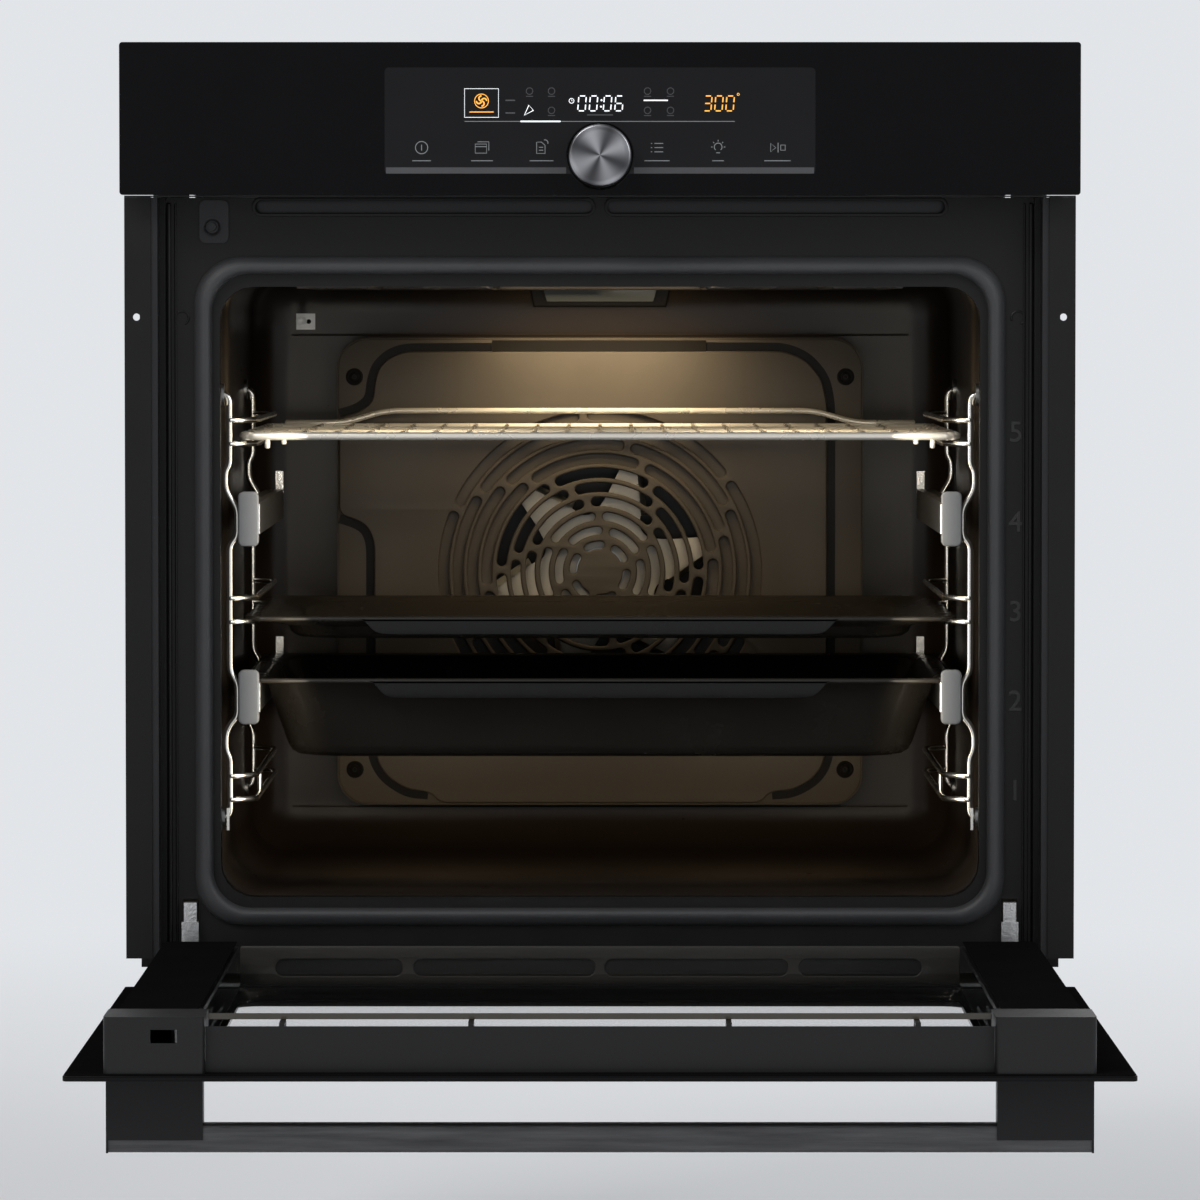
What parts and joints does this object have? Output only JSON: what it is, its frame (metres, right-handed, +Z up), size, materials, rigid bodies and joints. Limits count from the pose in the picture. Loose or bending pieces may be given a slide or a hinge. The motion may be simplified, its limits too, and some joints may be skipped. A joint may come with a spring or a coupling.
{
  "type": "wall oven",
  "caption": "Built-in single wall oven with a drop-down glass door, touch control panel with a push-turn knob, side racks, telescopic rails, wire shelf and trays.",
  "frame": {"origin": "middle of the base panel's front edge, on its underside, in the plane of the cabinet front", "axes": "+X to the user's right, -Y out of the front towards the user, +Z up"},
  "size_m": [0.595, 1.055, 0.6345],
  "materials": {
    "galvanised_steel": "satin zinc-coated sheet",
    "frame_enamel": "satin black enamel",
    "cavity_enamel": "dark grey-brown gloss enamel",
    "insulation_wool": "mineral wool",
    "gasket": "dark grey braided seal",
    "chrome_wire": "polished",
    "steel": "zinc plated",
    "heater": "oxidised sheath",
    "rail_steel": "satin",
    "fan_steel": "aluminised sheet",
    "lamp_glass": "clear",
    "black_glass": "gloss black printed glass",
    "clear_glass": "clear",
    "black_plastic": "matt",
    "circuit_board": "satin",
    "knob_metal": "dark brushed",
    "door_profile": "satin black",
    "tray_enamel": "gloss black enamel"
  },
  "bodies": {
    "root": {"base_panel": "galvanised_steel", "side_panels": "galvanised_steel", "top_panel": "galvanised_steel", "back_panel": "galvanised_steel", "front_frame": "frame_enamel", "side_trims": "frame_enamel", "cavity_liner": "cavity_enamel", "insulation": "insulation_wool", "door_gasket": "gasket", "fan_baffle": "cavity_enamel", "baffle_screws": "steel", "ring_heater": "heater", "fan_motor": "steel", "grill_heater": "heater", "bottom_heater": "heater", "lamp_lens": "lamp_glass", "lamp_housing": "galvanised_steel", "temperature_sensor": "steel", "side_rack_left": "chrome_wire", "side_rack_right": "chrome_wire", "rack_studs": "chrome_wire", "rail_bases": "rail_steel", "control_glass": "black_glass", "control_carrier": "black_plastic", "display_module": "circuit_board", "encoder_body": "black_plastic", "blower_housing": "galvanised_steel", "blower_motor": "steel", "hinge_arms": "steel", "door_switch": "black_plastic", "terminal_block": "black_plastic"},
    "door": {"outer_glass": "black_glass", "middle_glasses": "clear_glass", "inner_glass": "clear_glass", "door_side_rails": "door_profile", "door_top_profile": "door_profile", "end_caps": "door_profile", "door_bottom_rail": "door_profile", "hinge_cases": "steel", "hinge_pins": "steel", "handle_bar": "knob_metal", "handle_brackets": "door_profile"},
    "fan": {"fan_impeller": "fan_steel", "fan_shaft": "steel"},
    "blower": {"blower_rotor": "fan_steel"},
    "encoder_plunger": {"encoder_plunger": "steel"},
    "control_knob": {"control_knob": "knob_metal"},
    "switch_plunger": {"switch_plunger": "black_plastic"},
    "hinge_latch_left": {"hinge_latch_left": "steel"},
    "hinge_latch_right": {"hinge_latch_right": "steel"},
    "wire_shelf": {"wire_shelf": "chrome_wire"},
    "baking_tray": {"baking_tray": "tray_enamel"},
    "deep_tray": {"deep_tray": "tray_enamel"},
    "rail4_slide_left": {"rail4_slide_left": "rail_steel"},
    "rail4_slide_right": {"rail4_slide_right": "rail_steel"},
    "rail4_runner_left": {"rail4_runner_left": "rail_steel"},
    "rail4_runner_right": {"rail4_runner_right": "rail_steel"},
    "rail2_slides": {"rail2_slides": "rail_steel"},
    "rail2_runners": {"rail2_runners": "rail_steel"}
  },
  "joints": [
    {"name": "door_hinge", "type": "hinge", "parent": "root", "child": "door", "pos_m": [0, -0.012, 0.008], "axis": [1, 0, 0], "range_deg": [-90, 0]},
    {"name": "hinge_latch_left_turn", "type": "hinge", "parent": "root", "child": "hinge_latch_left", "pos_m": [-0.257, 0.018, 0.026], "axis": [1, 0, 0], "range_deg": [0, 60]},
    {"name": "hinge_latch_right_turn", "type": "hinge", "parent": "root", "child": "hinge_latch_right", "pos_m": [0.257, 0.018, 0.026], "axis": [1, 0, 0], "range_deg": [0, 60]},
    {"name": "wire_shelf_slide", "type": "slide", "parent": "root", "child": "wire_shelf", "axis": [0, -1, 0], "range_m": [0, 0.35]},
    {"name": "baking_tray_slide", "type": "slide", "parent": "root", "child": "baking_tray", "axis": [0, -1, 0], "range_m": [0, 0.33]},
    {"name": "rail4_left_runner_slide", "type": "slide", "parent": "root", "child": "rail4_runner_left", "axis": [0, -1, 0], "range_m": [0, 0.3]},
    {"name": "rail4_left_slide_follow", "type": "slide", "parent": "root", "child": "rail4_slide_left", "axis": [0, -1, 0], "range_m": [0, 0.15]},
    {"name": "rail4_right_runner_slide", "type": "slide", "parent": "root", "child": "rail4_runner_right", "axis": [0, -1, 0], "range_m": [0, 0.3]},
    {"name": "rail4_right_slide_follow", "type": "slide", "parent": "root", "child": "rail4_slide_right", "axis": [0, -1, 0], "range_m": [0, 0.15]},
    {"name": "rail2_runner_slide", "type": "slide", "parent": "root", "child": "rail2_runners", "axis": [0, -1, 0], "range_m": [0, 0.3]},
    {"name": "rail2_slide_follow", "type": "slide", "parent": "root", "child": "rail2_slides", "axis": [0, -1, 0], "range_m": [0, 0.15]},
    {"name": "deep_tray_lift", "type": "slide", "parent": "rail2_runners", "child": "deep_tray", "axis": [0, 0, 1], "range_m": [0, 0.018]},
    {"name": "fan_spin", "type": "hinge", "parent": "root", "child": "fan", "pos_m": [0, 0.45, 0.2454], "axis": [0, -1, 0], "continuous": true},
    {"name": "blower_spin", "type": "hinge", "parent": "root", "child": "blower", "pos_m": [0, 0.33, 0.525], "axis": [1, 0, 0], "continuous": true},
    {"name": "knob_press", "type": "slide", "parent": "root", "child": "encoder_plunger", "axis": [0, 1, 0], "range_m": [0, 0.0015], "stiffness_N_per_m": 800},
    {"name": "knob_turn", "type": "hinge", "parent": "encoder_plunger", "child": "control_knob", "pos_m": [0, -0.03, 0.5197], "axis": [0, -1, 0], "continuous": true},
    {"name": "door_switch_press", "type": "slide", "parent": "root", "child": "switch_plunger", "axis": [0, 1, 0], "range_m": [0, 0.005], "stiffness_N_per_m": 200}
  ],
  "couplings": [
    {"joint": "rail4_left_slide_follow", "follows": "rail4_left_runner_slide", "ratio": 0.5},
    {"joint": "rail4_right_slide_follow", "follows": "rail4_right_runner_slide", "ratio": 0.5},
    {"joint": "rail2_slide_follow", "follows": "rail2_runner_slide", "ratio": 0.5}
  ]
}
